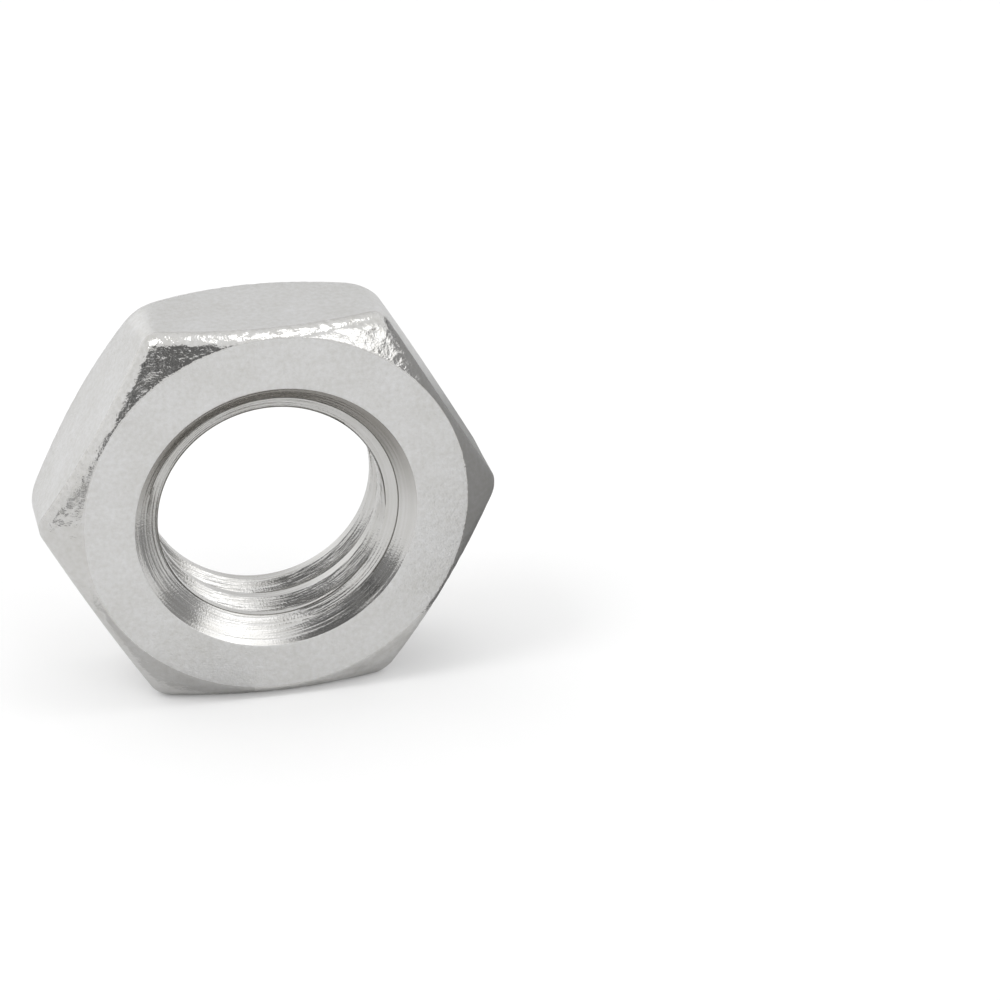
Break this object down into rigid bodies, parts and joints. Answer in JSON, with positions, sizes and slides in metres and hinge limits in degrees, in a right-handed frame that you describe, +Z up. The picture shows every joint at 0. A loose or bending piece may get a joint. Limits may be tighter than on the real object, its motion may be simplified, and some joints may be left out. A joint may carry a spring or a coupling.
{
  "type": "jam nut",
  "caption": "Thin hexagon nut in bare stainless steel, chamfered and countersunk on both faces, with a coarse right-hand internal thread.",
  "frame": {"origin": "centre of the nut, on the bore axis and halfway between the two faces", "axes": "+Y along the bore axis towards the back face, -Y out of the front face, +Z up and square to the top and bottom flats, +X through two opposite corners"},
  "size_m": [0.0204, 0.0056, 0.018],
  "materials": {
    "stainless_steel": "matt, finely tumbled faces and flats, burnished chamfers, bright turned countersinks and thread"
  },
  "bodies": {
    "root": {"jam_nut": "stainless_steel"}
  },
  "joints": []
}
